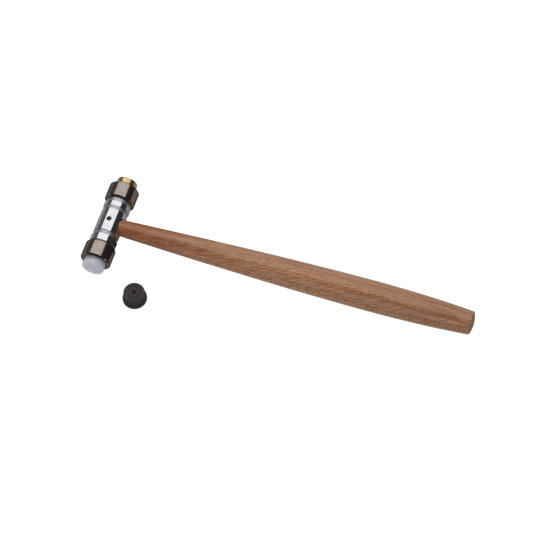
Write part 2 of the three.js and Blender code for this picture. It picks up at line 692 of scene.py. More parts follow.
@dataclass(frozen=True)
class NaturalNylon(Finish):
    """Cast nylon turned to size: bluish white, light sinks in a little, with a soft sheen.

    Attributes:
        name: Material and process.
        colour: The body's colour.
        clouded: The colour of its milky clouds.
        cloud_size: Size of the clouds, in millimetres.
        depth: How far light travels inside, in millimetres.
        lines: Marks of the turning tool.
    """

    name: str = "Cast nylon, turned"
    colour: str = "#e2e3f0"
    clouded: str = "#d8d9e8"
    cloud_size: float = 3.0
    depth: float = 7.0
    lines: LatheLines = LatheLines(spacing=0.22, depth=0.006)

    def inputs(self, tree: Tree) -> Inputs:
        """Adds the nylon's nodes.

        Args:
            tree: The material's tree.

        Returns:
            What the shader's sockets take.
        """
        _, normal = self.lines.build(tree)
        here = add_node(tree, "TexCoord").outputs["Object"]
        noise = {"Vector": here, "Scale": repeats(self.cloud_size), "Detail": 3.0}
        clouds = add_node(tree, "TexNoise", noise).outputs["Fac"]
        tints = {"Factor": clouds, MIX_A: linear(self.colour), MIX_B: linear(self.clouded)}
        return {
            "IOR": 1.53,
            "Roughness": 0.42,
            "Subsurface Weight": 1.0,
            "Subsurface Radius": (1.0, 1.0, 1.15),  # blue light goes a little further
            "Subsurface Scale": self.depth * MM,
            "Base Color": add_node(tree, "Mix", tints, data_type="RGBA").outputs[MIX_RESULT],
            "Normal": normal,
        }


@dataclass(frozen=True)
class MouldedRubber(Finish):
    """Black rubber from a turned mould: charcoal and matt, with fine pits and a pale bloom on top.

    The pits of real rubber are a few hundredths of a millimetre wide, and are drawn coarser to show.

    Attributes:
        name: Material and process.
        colour: The rubber's colour.
        bloom: The colour of the dusty bloom.
        bloom_size: Size of the bloom's patches, in millimetres.
        bloom_levels: Noise levels where the bloom starts and where it is full.
        upward: How far up a surface faces where the bloom starts to settle and where it is full.
        on_sides: Share of the bloom that clings to steep sides.
        rough: Roughness of the bare rubber and of the bloom.
        pit_size: Size of the pits, in millimetres.
        pit_depth: Their depth, in millimetres.
        lines: Rings that the mould's turning leaves on the rubber.
    """

    name: str = "Nitrile rubber, moulded"
    colour: str = "#353131"
    bloom: str = "#625a5a"
    bloom_size: float = 2.2
    bloom_levels: Span = (0.12, 0.42)
    upward: Span = (-0.2, 0.9)
    on_sides: float = 0.15
    rough: Span = (0.55, 0.85)
    pit_size: float = 0.3
    pit_depth: float = 0.04
    lines: LatheLines = LatheLines(spacing=0.5, depth=0.03)

    def inputs(self, tree: Tree) -> Inputs:
        """Adds the rubber's nodes.

        Args:
            tree: The material's tree.

        Returns:
            What the shader's sockets take.
        """
        rings, ringed = self.lines.build(tree)
        coords = add_node(tree, "TexCoord").outputs
        here = coords["Object"]
        noise = {"Vector": here, "Scale": repeats(self.bloom_size), "Detail": 5.0, "Roughness": 0.65}
        bloom = add_node(tree, "TexNoise", noise).outputs["Fac"]
        share = add_node(tree, "Math", {0: bloom, 1: rings}, operation="MULTIPLY").outputs["Value"]
        low, high = self.bloom_levels
        spread = add_node(tree, "MapRange", {"Value": share, "From Min": low, "From Max": high})
        facing = add_node(tree, "SeparateXYZ", {"Vector": coords["Normal"]}).outputs["Z"]
        low, high = self.upward
        tops = {"Value": facing, "From Min": low, "From Max": high, "To Min": self.on_sides}
        upward = add_node(tree, "MapRange", tops)
        factors = {0: spread.outputs["Result"], 1: upward.outputs["Result"]}
        settled = add_node(tree, "Math", factors, operation="MULTIPLY").outputs["Value"]
        tints = {"Factor": settled, MIX_A: linear(self.colour), MIX_B: linear(self.bloom)}
        low, high = self.rough
        rough = add_node(tree, "MapRange", {"Value": bloom, "To Min": low, "To Max": high})
        pitted = {"Vector": here, "Scale": repeats(self.pit_size), "Detail": 2.0}
        pits = add_node(tree, "TexNoise", pitted).outputs["Fac"]
        relief = {"Height": pits, "Normal": ringed, "Strength": 0.6, "Distance": self.pit_depth * MM}
        return {
            "IOR": 1.52,
            "Specular IOR Level": 0.35,
            "Base Color": add_node(tree, "Mix", tints, data_type="RGBA").outputs[MIX_RESULT],
            "Roughness": rough.outputs["Result"],
            "Normal": add_node(tree, "Bump", relief).outputs["Normal"],
        }


@dataclass(frozen=True)
class StainedWood(Finish):
    """Hardwood turned along its grain, stained red-brown and satin varnished.

    Long bands of growth rings run down the handle, crossed by fine fibres and slanting dark flecks.
    Real fibres and flecks are a tenth of a millimetre wide or less, and are drawn coarser to show.

    Attributes:
        name: Material and process.
        middle: The main colour.
        pale: Early wood, between the darker bands.
        dark: Late wood, in the bands, and the colour of the painted shade towards the butt.
        fleck: The short slanting flecks.
        end_grain: The butt, where the stain sinks in.
        neck: The neck, where the stain is redder.
        neck_end: How far the redder stain reaches, in millimetres.
        neck_share: How strong it is at the head.
        butt_start: Where painted shade begins to darken the wood towards the butt, standing in for light
            that falls off along the handle, in millimetres.
        butt_shade_end: Where the painted shade is deepest.
        butt_shade_share: How strong it is there.
        butt_facing: How far a surface faces along the handle where end grain starts and where it is full.
        ring_spacing: Distance between growth rings, in millimetres.
        ring_levels: Wave levels where a ring's dark band starts and where it is full.
        ring_share: How dark the bands are.
        ring_stretch: How much slower the rings waver along the handle than across it.
        warp: How far the rings waver, in radians of their wave.
        warp_size: Size of their wavering, in millimetres.
        pith: Where the handle's axis lies, seen from the tree's middle, in millimetres.
        tilt: How far the grain leans from the handle's axis, in degrees.
        fibre: Width and length of a fibre streak, in millimetres.
        fibre_levels: Noise levels between which the fibres go from pale to the main colour.
        gloss_levels: Noise levels between which the fibres go from smooth to rough.
        rough: Roughness of the smooth and of the rough fibres.
        fibre_relief: Height of the fibres under the varnish, in millimetres.
        flecks: Width and length of a fleck, in millimetres.
        fleck_levels: Noise levels where a fleck starts and where it is full.
        fleck_share: How dark the flecks are.
        fleck_side: How far behind the handle's axis the flecks are faintest and fullest, in millimetres.
        fleck_least: Share of the flecks that shows on the faint side.
        run_out: Slope of the flecks where the handle's axis crosses the head's.
        run_out_growth: How much steeper they would get over a metre of handle.
    """

    name: str = "Hardwood, stained and satin varnished"
    middle: str = "#c78a60"
    pale: str = "#dda47a"
    dark: str = "#a46b45"
    fleck: str = "#905734"
    end_grain: str = "#8b5c3f"
    neck: str = "#aa5e32"
    neck_end: float = 72.0
    neck_share: float = 0.8
    butt_start: float = 120.0
    butt_shade_end: float = 215.0
    butt_shade_share: float = 0.25
    butt_facing: Span = (0.35, 0.9)
    ring_spacing: float = 2.6
    ring_levels: Span = (0.35, 1.0)
    ring_share: float = 0.6
    ring_stretch: float = 0.12
    warp: float = 1.3
    warp_size: float = 9.0
    pith: Point = (16.0, -27.0)
    tilt: float = 1.2
    fibre: Size = (0.42, 40.0)
    fibre_levels: Span = (0.42, 0.58)
    gloss_levels: Span = (0.3, 0.7)
    rough: Span = (0.3, 0.45)
    fibre_relief: float = 0.04
    flecks: Size = (0.3, 5.2)
    fleck_levels: Span = (0.5, 0.6)
    fleck_share: float = 0.8
    fleck_side: Span = (4.0, -3.0)
    fleck_least: float = 0.2
    run_out: float = 0.12
    run_out_growth: float = 0.7

    def inputs(self, tree: Tree) -> Inputs:
        """Adds the wood's nodes.

        Args:
            tree: The material's tree.

        Returns:
            What the shader's sockets take.
        """
        coords = add_node(tree, "TexCoord").outputs
        here = coords["Object"]
        fibres = self._streaks(tree, here, self.fibre)
        low, high = self.gloss_levels
        smooth, coarse = self.rough
        gloss = {"Value": fibres, "From Min": low, "From Max": high, "To Min": smooth, "To Max": coarse}
        relief = {"Height": fibres, "Strength": 0.05, "Distance": self.fibre_relief * MM}
        return {
            "IOR": 1.5,
            "Specular IOR Level": 0.25,
            "Coat Weight": 0.8,
            "Coat Roughness": 0.13,
            "Coat IOR": 1.5,
            "Base Color": self._colour(tree, here, coords["Normal"], fibres),
            "Roughness": add_node(tree, "MapRange", gloss).outputs["Result"],
            "Normal": add_node(tree, "Bump", relief).outputs["Normal"],
        }

    def _colour(self, tree: Tree, here: Socket, normal: Socket, fibres: Socket) -> Colour | Socket:
        """Lays the wood's tints over each other, from its ground to the end grain.

        Args:
            tree: The material's tree.
            here: Object coordinates.
            normal: The normal in the same frame.
            fibres: The fibres' strength from 0 to 1.

        Returns:
            The colour.
        """
        along = add_node(tree, "SeparateXYZ", {"Vector": here}).outputs["Z"]
        facing = add_node(tree, "SeparateXYZ", {"Vector": normal}).outputs["Z"]
        low, high = self.fibre_levels
        spread = add_node(tree, "MapRange", {"Value": fibres, "From Min": low, "From Max": high})
        low, high = self.neck_end * MM, 0.0
        head = {"Value": along, "From Min": low, "From Max": high, "To Max": self.neck_share}
        near_head = add_node(tree, "MapRange", head, interpolation_type="SMOOTHSTEP")
        low, high = self.butt_start * MM, self.butt_shade_end * MM
        tail = {"Value": along, "From Min": low, "From Max": high, "To Max": self.butt_shade_share}
        painted_butt_shade = add_node(tree, "MapRange", tail, interpolation_type="SMOOTHSTEP")
        low, high = self.butt_facing
        butt = add_node(tree, "MapRange", {"Value": facing, "From Min": low, "From Max": high})
        layers = (
            (spread.outputs["Result"], self.middle),
            (near_head.outputs["Result"], self.neck),
            # Painted shade: the wood darkens towards the butt, standing in for light falling off along the
            # handle.
            (painted_butt_shade.outputs["Result"], self.dark),
            (self._bands(tree, here), self.dark),
            (self._flecks(tree, here), self.fleck),
            (butt.outputs["Result"], self.end_grain),
        )
        colour: Colour | Socket = linear(self.pale)
        for share, tint in layers:
            tints = {"Factor": share, MIX_A: colour, MIX_B: linear(tint)}
            colour = add_node(tree, "Mix", tints, data_type="RGBA").outputs[MIX_RESULT]
        return colour

    def _bands(self, tree: Tree, here: Socket) -> Socket:
        """Growth rings round a pith that lies beside the handle and leans a little.

        Args:
            tree: The material's tree.
            here: Object coordinates.

        Returns:
            0 in the pale wood and up to 1 in the dark bands.
        """
        lean = math.radians(self.tilt)
        middle = (self.pith[0] * MM, self.pith[1] * MM, 0.0)
        leaning = {"Vector": here, "Location": middle, "Rotation": (lean, -lean, 0.0)}
        moved = add_node(tree, "Mapping", leaning)
        drawn = {"Vector": moved.outputs["Vector"], "Scale": (1.0, 1.0, self.ring_stretch)}
        count = math.tau / WAVE_PHASE * repeats(self.ring_spacing)
        wave = {
            "Vector": add_node(tree, "Mapping", drawn).outputs["Vector"],
            "Scale": count,
            "Distortion": self.warp,
            "Detail": 1.5,
            "Detail Scale": repeats(self.warp_size) / count,
            "Detail Roughness": 0.5,
        }
        rings = add_node(
            tree, "TexWave", wave, wave_type="RINGS", rings_direction="Z", wave_profile="SAW"
        ).outputs["Fac"]
        low, high = self.ring_levels
        band = {"Value": rings, "From Min": low, "From Max": high, "To Max": self.ring_share}
        return add_node(tree, "MapRange", band).outputs["Result"]

    def _flecks(self, tree: Tree, here: Socket) -> Socket:
        """Dark slanting flecks, which show most on the side of the handle that faces the front.

        Args:
            tree: The material's tree.
            here: Object coordinates.

        Returns:
            The flecks' strength from 0 to 1.
        """
        across = add_node(tree, "SeparateXYZ", {"Vector": here}).outputs
        line = {0: across["Z"], 1: self.run_out_growth, 2: self.run_out}
        slope = add_node(tree, "Math", line, operation="MULTIPLY_ADD").outputs["Value"]
        climb = add_node(tree, "Math", {0: slope, 1: across["Z"]}, operation="MULTIPLY").outputs["Value"]
        shift = add_node(tree, "CombineXYZ", {"X": climb, "Y": climb}).outputs["Vector"]
        leaning = add_node(tree, "VectorMath", {0: here, 1: shift}, operation="SUBTRACT").outputs["Vector"]
        streaks = self._streaks(tree, leaning, self.flecks)
        low, high = self.fleck_levels
        fleck = {"Value": streaks, "From Min": low, "From Max": high, "To Max": self.fleck_share}
        sparse = add_node(tree, "MapRange", fleck).outputs["Result"]
        low, high = self.fleck_side
        side = {
            "Value": across["X"], "From Min": low * MM, "From Max": high * MM, "To Min": self.fleck_least
        }
        front = add_node(tree, "MapRange", side).outputs["Result"]
        return add_node(tree, "Math", {0: sparse, 1: front}, operation="MULTIPLY").outputs["Value"]

    def _streaks(self, tree: Tree, here: Socket, size: Size) -> Socket:
        """Streaks drawn out along the handle.

        Args:
            tree: The material's tree.
            here: Where they are looked up.
            size: A streak's width and length in millimetres.

        Returns:
            The streaks' strength from 0 to 1.
        """
        width, length = size
        drawn = add_node(tree, "Mapping", {"Vector": here, "Scale": (1.0, 1.0, width / length)})
        noise = {
            "Vector": drawn.outputs["Vector"],
            "Scale": repeats(2 * width),  # a dark and a pale streak make one wave of the noise
            "Detail": 2.5,
            "Roughness": 0.55,
        }
        return add_node(tree, "TexNoise", noise).outputs["Fac"]


@dataclass(frozen=True)
class StudioSheet(Finish):
    """A matt sheet of the studio, a little uneven in tone, which may be lit from below.

    Attributes:
        name: Material and process.
        colour: The sheet's colour.
        shade: The colour of its duller patches.
        patch_size: Size of the patches, in millimetres.
        glow: Brightness of the light from below.
    """

    name: str
    colour: str
    shade: str
    patch_size: float = 60.0
    glow: float = 0.0

    def inputs(self, tree: Tree) -> Inputs:
        """Adds the sheet's nodes.

        Args:
            tree: The material's tree.

        Returns:
            What the shader's sockets take.
        """
        here = add_node(tree, "TexCoord").outputs["Object"]
        tone = add_node(tree, "TexNoise", {"Vector": here, "Scale": repeats(self.patch_size)}).outputs["Fac"]
        tints = {"Factor": tone, MIX_A: linear(self.colour), MIX_B: linear(self.shade)}
        return {
            "Roughness": 0.9,
            "Specular IOR Level": 0.0,
            "Emission Color": linear("#ffffff"),
            "Emission Strength": self.glow,
            "Base Color": add_node(tree, "Mix", tints, data_type="RGBA").outputs[MIX_RESULT],
        }


@dataclass(frozen=True)
class OneWayCard(Finish):
    """Thin card, matt in front, which lets light pass from behind.

    Attributes:
        name: Material and process.
        colour: The colour of its front.
    """

    name: str
    colour: str

    def inputs(self, tree: Tree) -> Inputs:
        """Adds the card's nodes.

        Args:
            tree: The material's tree.

        Returns:
            What the shader's sockets take.
        """
        behind = add_node(tree, "NewGeometry").outputs["Backfacing"]
        front = add_node(tree, "Math", {0: 1.0, 1: behind}, operation="SUBTRACT").outputs["Value"]
        return {
            "Roughness": 0.9,
            "Specular IOR Level": 0.0,
            "Base Color": linear(self.colour),
            "Alpha": front,
        }


# A bluish white mirror, softened in patches by handling, and satin in the grooves and on the shoulders,
# where its colour is also darkened as painted shade.
CHROME = TurnedMetal(
    name="Steel, turned and chrome plated",
    colour="#d2d4d8",
    dull="#c4c6ca",
    smooth=0.04,
    hazy=0.13,
    lines=LatheLines(spacing=0.25, depth=0.0006),
    wheel_reach=7.6,
)
# A warm grey mirror that turns nearly black wherever it has nothing bright to show.
BLACK_NICKEL = TurnedMetal(
    name="Steel, turned and black nickel plated",
    colour="#9f958b",
    dull="#8a8076",
    smooth=0.1,
    hazy=0.24,
    lines=LatheLines(spacing=0.25, depth=0.0015),
    film_size=1.4,
    edge="#8c8c8c",
)
# Pale yellow with broad soft glints, because the tool marks weren't polished out.
BRASS = TurnedMetal(
    name="Brass, turned",
    colour="#d9bd90",
    dull="#c09d6b",
    smooth=0.18,
    hazy=0.34,
    lines=LatheLines(spacing=0.3, depth=0.003),
)
# Brown-black and dull, with no clear reflection, and darker still as painted shade from the hole that it
# sits in.
PIN_STEEL_AND_SHADE = TurnedMetal(
    name="Steel pin, dark, with painted shade",
    colour="#5b5350",
    dull="#403a38",
    smooth=0.35,
    hazy=0.6,
    lines=LatheLines(spacing=0.2, depth=0.004),
    film_size=0.8,
)
# Bluish white and soft, with milky clouds and no hard edge between light and shade.
NYLON = NaturalNylon()
# Matt charcoal, a little paler on top, where a dusty bloom settles.
RUBBER = MouldedRubber()
# Warm red-brown with a satin stripe of light along the top, over bands, fibres and flecks, and with
# painted shade that darkens it towards the butt.
WOOD = StainedWood()
# What the camera sees behind the hammer: plain white with no shadow.
LIT_TABLE = StudioSheet("Opal acrylic, sanded and lit from below", "#7c7c7c", "#787878", glow=0.91)
# What lights matt surfaces from below.
DIM_TABLE = StudioSheet("Opal acrylic, sanded and dimly lit", "#7c7c7c", "#787878", glow=0.62)
# What polished metal mirrors in place of the lit table.
GREY_TABLE = StudioSheet("Grey acrylic, sanded", "#acacac", "#a6a6a6")
# Painted shadow: a dark card under the neck, which gives the plate its dark edge there.
PAINTED_SHADOW_CARD = StudioSheet("Brown-grey card for a painted shadow", "#5a5450", "#544e4a")
# Painted reflection: brown cards that the plate mirrors in place of the lit sides of the neck, to show them
# shaded.
PAINTED_NECK_REFLECTION = OneWayCard("Brown card for a painted reflection, clear from behind", "#5e483a")


def dress(piece: Object, finish: Finish, body: Body, node: str) -> None:
    """Gives a piece its finish and ties it to the frame.

    Args:
        piece: The piece, in place.
        finish: What it is made of.
        body: The body that it rides on.
        node: The node of the frame that it stands for.
    """
    piece.data.materials.clear()
    piece.data.materials.append(finish.material())
    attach(piece, body.value)
    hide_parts(node)
    LOG.info("%s: %d faces, rides on %s", piece.name, len(piece.data.polygons), body.value)


# The hammer

def middle_of(node: str) -> Vector:
    """The middle of a node's box, in metres."""
    low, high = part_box(node)
    return (low + high) / 2


def reach_of(node: str, axis: int) -> float:
    """Half of a node's box along one axis, in millimetres."""
    low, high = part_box(node)
    return (high[axis] - low[axis]) / 2 / MM


@dataclass(frozen=True)
class Places:
    """Where the head's and the handle's axes cross, and the frames that hang on them."""

    crossing: Vector = field(default_factory=lambda: middle_of("head_barrel"))

    def brass_end(self) -> Matrix:
        """Frame whose axis runs out through the brass face."""
        return axis_frame(self.crossing, Vector((0, 1, 0)), Vector((1, 0, 0)))

    def nylon_end(self) -> Matrix:
        """Frame whose axis runs out through the nylon face."""
        return axis_frame(self.crossing, Vector((0, -1, 0)), Vector((1, 0, 0)))

    def handle(self) -> Matrix:
        """Frame whose axis runs down the handle to its butt."""
        return axis_frame(self.crossing, Vector((1, 0, 0)), Vector((0, 1, 0)))

    def pin(self, up: float) -> Matrix:
        """Frame of the cross pin, seen from above (1) or from below (-1)."""
        return axis_frame(self.crossing, Vector((0, 0, up)), Vector((0, 1, 0)))

    def on_bench(self, height: float) -> Matrix:
        """Frame on the bench under the crossing, raised by a height in millimetres."""
        return Matrix.Translation((self.crossing.x, self.crossing.y, height * MM))


@dataclass(frozen=True)
class Head:
    """The plated barrel with its threaded spigots, and the pin through it.

    All fields are in millimetres, measured out from the middle of the head.
    """

    places: Places
    middle_radius: float = 7.7
    middle_end: float = 7.4
    groove_radius: float = 7.35
    groove_start: float = 7.75
    groove_end: float = 8.95
    band_start: float = 10.2
    brass_band_end: float = 12.5
    nylon_band_end: float = 14.3
    step_run: float = 0.3
    shoulder_radius: float = 7.45
    shoulder_end: float = 15.2
    neck_radius: float = 6.7
    thread_start: float = 15.7
    thread_crest: float = 7.6
    thread_root: float = 7.05
    spigot_lead: float = 6.75
    eye_radius: float = 4.97
    eye_floor: float = -3.7
    eye_edge: float = 0.12
    pin_hole: float = 1.46
    pin_edge: float = 0.05
    pin_radius: float = 1.3
    pin_chamfer: float = 0.2
    small_round: float = 0.1
    soft_round: float = 0.2

    def build(self) -> None:
        """Makes and dresses the barrel and its pin."""
        self._barrel()
        self._pin()

    def _half_rings(self, band_end: float) -> list[Ring]:
        """Rings from the barrel's middle out to the end of one spigot.

        Args:
            band_end: Where this half's band stops, which the photograph shows further out on one side.

        Returns:
            The rings.
        """
        band_radius = reach_of("head_barrel", 2)
        spigot_end = reach_of("head_barrel", 1)
        outline = rounded_outline([
            Corner(self.middle_radius, 0.0),
            Corner(self.middle_radius, self.middle_end, self.soft_round),
            Corner(self.groove_radius, self.groove_start, self.small_round),
            Corner(self.groove_radius, self.groove_end, self.small_round),
            Corner(band_radius, self.band_start, self.soft_round),
            Corner(band_radius, band_end, self.soft_round),
            Corner(self.shoulder_radius, band_end + self.step_run, self.small_round),
            Corner(self.shoulder_radius, self.shoulder_end, self.small_round),
            Corner(self.neck_radius, self.shoulder_end, self.small_round),
            Corner(self.neck_radius, self.thread_start),
        ])
        thread = Thread(
            Side.OUTSIDE,
            start=self.thread_start,
            end=spigot_end,
            crest=self.thread_crest,
            root=self.thread_root,
            first=self.neck_radius,
            last=self.spigot_lead,
        )
        face = [(self.spigot_lead, spigot_end), (0.0, spigot_end)]
        return [*plain_rings(outline), *thread.rings(), *plain_rings(face)]

    def _barrel(self) -> None:
        """The barrel, made of two halves, with its eye and pin hole."""
        half = turned_mesh("chromed_barrel", self._half_rings(self.brass_band_end))
        other = turned_mesh("nylon_half", self._half_rings(self.nylon_band_end))
        other.transform(self.places.brass_end().inverted() @ self.places.nylon_end())
        whole = bmesh.new()
        whole.from_mesh(half)
        whole.from_mesh(other)
        whole.to_mesh(half)
        whole.free()
        bpy.data.meshes.remove(other)
        settle_mesh(half)
        barrel = place_mesh("chromed_barrel", half, self.places.brass_end())
        eye = drill_tool(
            self.places.handle(), self.middle_radius, self.eye_radius, self.eye_floor, self.eye_edge
        )
        holes = [
            drill_tool(self.places.pin(up), self.middle_radius, self.pin_hole, 0.0, self.pin_edge)
            for up in (1.0, -1.0)
        ]
        cut_away(barrel, [eye, *holes])
        dress(barrel, CHROME, Body.HAMMER, "head_barrel")

    def _pin(self) -> None:
        """The cross pin, with chamfered ends that sit below the plate."""
        half = reach_of("cross_pin", 2)
        rim = self.pin_radius - self.pin_chamfer
        outline = rounded_outline([
            Corner(0.0, -half),
            Corner(rim, -half, self.small_round),
            Corner(self.pin_radius, self.pin_chamfer - half, self.small_round),
            Corner(self.pin_radius, half - self.pin_chamfer, self.small_round),
            Corner(rim, half, self.small_round),
            Corner(0.0, half),
        ])
        pin = turned_piece("steel_cross_pin", plain_rings(outline), self.places.pin(1.0))
        dress(pin, PIN_STEEL_AND_SHADE, Body.HAMMER, "cross_pin")


@dataclass(frozen=True)
class Handle:
    """The turned handle: a straight tenon, a long swell to the belly, and a rounded butt.

    Lengths are in millimetres from the head's axis, and slopes and fullness are shares.
    """

    places: Places
    tenon_radius: float = 4.9
    tenon_chamfer: float = 0.6
    neck_start: float = 8.0
    belly_at: float = 156.0
    butt_start: float = 214.8
    butt_radius: float = 6.8
    butt_round: float = 1.3
    neck_slope: float = 0.034
    butt_slope: float = 0.085
    neck_fullness: float = 0.135
    belly_fullness: float = 0.405
    trail_fullness: float = 0.5
    butt_fullness: float = 0.17
    pin_hole: float = 1.36
    neck_steps: int = 6

    def build(self) -> None:
        """Makes and dresses the handle."""
        handle = turned_piece("turned_handle", plain_rings(self._outline()), self.places.handle())
        clear = 2 * self.tenon_radius
        holes = [drill_tool(self.places.pin(up), clear, self.pin_hole, 0.0, 0.0) for up in (1.0, -1.0)]
        cut_away(handle, holes)
        dress(handle, WOOD, Body.HAMMER, "handle")

    def _outline(self) -> list[Point]:
        """The outline from the tenon's end to the middle of the butt.

        Returns:
            Points as (radius, station).
        """
        low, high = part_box("handle")
        tenon_end = (low.x - self.places.crossing.x) / MM
        handle_end = (high.x - self.places.crossing.x) / MM
        belly = reach_of("handle", 2)
        points = [
            (0.0, tenon_end),
            (self.tenon_radius - self.tenon_chamfer, tenon_end),
            (self.tenon_radius, tenon_end + self.tenon_chamfer),
        ]
        bare = tenon_end + self.tenon_chamfer
        for step in range(1, self.neck_steps + 1):
            share = step / self.neck_steps
            points.append((self.tenon_radius, bare + share * (self.neck_start - bare)))
        swell = self.belly_at - self.neck_start
        neck_hold = self.neck_fullness * swell
        points += bezier(
            (points[-1], (belly, self.belly_at)),
            (
                (self.tenon_radius + self.neck_slope * neck_hold, self.neck_start + neck_hold),
                (belly, self.belly_at - self.belly_fullness * swell),
            ),
            CURVE_STEPS,
        )
        trail = self.butt_start - self.belly_at
        butt_hold = self.butt_fullness * trail
        points += bezier(
            (points[-1], (self.butt_radius, self.butt_start)),
            (
                (belly, self.belly_at + self.trail_fullness * trail),
                (self.butt_radius + self.butt_slope * butt_hold, self.butt_start - butt_hold),
            ),
            CURVE_STEPS,
        )
        return points + self._butt(handle_end)

    def _butt(self, handle_end: float) -> list[Point]:
        """The rounded edge and low dome of the butt.

        Args:
            handle_end: Station of the dome's top.

        Returns:
            The points after the handle's last sweep.
        """
        dome = self.butt_radius - self.butt_round
        rim = self.butt_start + self.butt_round
        steps = 2 * ARC_STEPS
        points = []
        for step in range(1, steps + 1):
            angle = math.pi / 2 * step / steps
            across = dome + self.butt_round * math.cos(angle)
            points.append((across, self.butt_start + self.butt_round * math.sin(angle)))
        for step in range(1, steps + 1):
            share = 1 - step / steps
            points.append((dome * share, handle_end - (handle_end - rim) * share**2))
        return points


@dataclass(frozen=True)
class ScrewCollar:
    """A plated cap ring: a threaded skirt over the spigot, and a lip over the face's flange.

    All fields are in millimetres, and stations are from the middle of the head.
    """

    where: Matrix
    node: str
    body: Body
    crossing: Vector
    chamfer: float = 0.81
    mouth: float = 6.55
    mouth_edge: float = 0.25
    lip: float = 1.2
    relief: float = 7.85
    relief_length: float = 0.8
    thread_crest: float = 7.2
    thread_root: float = 7.75
    entry: float = 7.9
    small_round: float = 0.08
    soft_round: float = 0.18

    def build(self) -> None:
        """Makes and dresses the collar."""
        low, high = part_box(self.node)
        ends = sorted(abs(y - self.crossing.y) / MM for y in (low.y, high.y))
        collar = turned_piece(self.node + "_plated", self._rings(*ends), self.where, closed=True)
        dress(collar, BLACK_NICKEL, self.body, self.node)

    def _rings(self, start: float, end: float) -> list[Ring]:
        """Rings round the whole section of the collar.

        Args:
            start: Station of its open end.
            end: Station of its lipped end.

        Returns:
            The rings, from the open end over the outside to the lip and back inside.
        """
        radius = reach_of(self.node, 2)
        lip_inside = end - self.lip
        thread_end = lip_inside - self.relief_length
        outline = rounded_outline([
            Corner(self.entry, start),
            Corner(radius - self.chamfer, start, self.small_round),
            Corner(radius, start + self.chamfer, self.soft_round),
            Corner(radius, end - self.chamfer, self.soft_round),
            Corner(radius - self.chamfer, end, self.small_round),
            Corner(self.mouth + self.mouth_edge, end, self.small_round),
            Corner(self.mouth, end - self.mouth_edge, self.small_round),
            Corner(self.mouth, lip_inside, self.small_round),
            Corner(self.relief, lip_inside, self.small_round),
            Corner(self.relief, thread_end),
        ])
        thread = Thread(
            Side.INSIDE,
            start=start,
            end=thread_end,
            crest=self.thread_crest,
            root=self.thread_root,
            first=self.entry,
            last=self.relief,
        )
        return [*plain_rings(outline), *reversed(thread.rings())]


@dataclass(frozen=True)
class Hollow:
    """A round-bottomed ring groove or dimple in a moulded face, in millimetres.

    Attributes:
        middle: Radius of its middle, 0 for a dimple.
        reach: Half of its width.
        depth: Its depth.
    """

    middle: float
    reach: float
    depth: float

    def drop(self, radius: float) -> float:
        """How far the face lies below its flat at a radius."""
        share = abs(radius - self.middle) / self.reach
        return self.depth * (1 + math.cos(math.pi * share)) / 2 if share < 1 else 0.0


@dataclass(frozen=True)
class StrikingFace:
    """A turned face with a flange at its back, which the collar's lip holds.

    All lengths are in millimetres, with stations from the flange's back. The flat of the face starts
    a few widths of its rounded edge in from the side.
    """

    name: str
    where: Matrix
    node: str
    body: Body
    slot: Slot
    finish: Finish
    length: float
    face_radius: float
    edge: float
    edge_widths: float = 2.5
    flange_radius: float = 7.05
    flange_thickness: float = 1.8
    flange_edge: float = 0.3
    root_round: float = 0.25
    hollows: tuple[Hollow, ...] = ()
    plain_steps: int = 8
    hollow_steps: int = 56

    def build(self) -> None:
        """Makes and dresses the face."""
        face = turned_piece(self.name, plain_rings(self._outline()), self.where)
        dress(face, self.finish, self.body, self.node)

    def _outline(self) -> list[Point]:
        """The outline from the middle of the back to the middle of the striking face.

        Returns:
            Points as (radius, station).
        """
        flat = rounded_outline([
            Corner(0.0, 0.0),
            Corner(self.flange_radius, 0.0, self.flange_edge),
            Corner(self.flange_radius, self.flange_thickness, self.flange_edge),
            Corner(self.face_radius, self.flange_thickness, self.root_round),
            Corner(self.face_radius, self.length, self.edge),
            Corner(self.face_radius - self.edge_widths * self.edge, self.length),
        ])
        rim = flat[-1][0]
        steps = self.hollow_steps if self.hollows else self.plain_steps
        for step in range(1, steps + 1):
            radius = rim * (1 - step / steps)
            flat.append((radius, self.length - sum(hollow.drop(radius) for hollow in self.hollows)))
        return flat


def striking_faces(places: Places) -> list[StrikingFace]:
    """The two fitted faces and the spare one.

    Args:
        places: The hammer's own frames.

    Returns:
        The brass, nylon and rubber faces.
    """
    length = 2 * reach_of("rubber_insert", 2)
    back = Matrix.Translation((0, 0, abs(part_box("brass_insert")[0].y - places.crossing.y)))
    spare = middle_of("rubber_insert")
    spare.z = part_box("rubber_insert")[0].z
    brass = StrikingFace(
        "brass_face_turned", places.brass_end() @ back, "brass_insert", Body.BRASS_FACE, Slot.BRASS, BRASS,
        length, face_radius=6.1, edge=0.3,
    )
    nylon = StrikingFace(
        "nylon_face_turned", places.nylon_end() @ back, "nylon_insert", Body.NYLON_FACE, Slot.NYLON, NYLON,
        length, face_radius=6.4, edge=0.9,
    )
    dimple = Hollow(middle=0.0, reach=2.0, depth=1.9)
    grooves = [Hollow(middle, reach=0.5, depth=0.35) for middle in (3.2, 4.5)]
    upright = axis_frame(spare, Vector((0, 0, 1)), Vector((1, 0, 0)))
    rubber = StrikingFace(
        "rubber_face_moulded", upright, "rubber_insert", Body.RUBBER_FACE, Slot.RUBBER, RUBBER,
        length, face_radius=6.1, edge=0.55, hollows=(dimple, *grooves),
    )
    return [brass, nylon, rubber]


# The studio

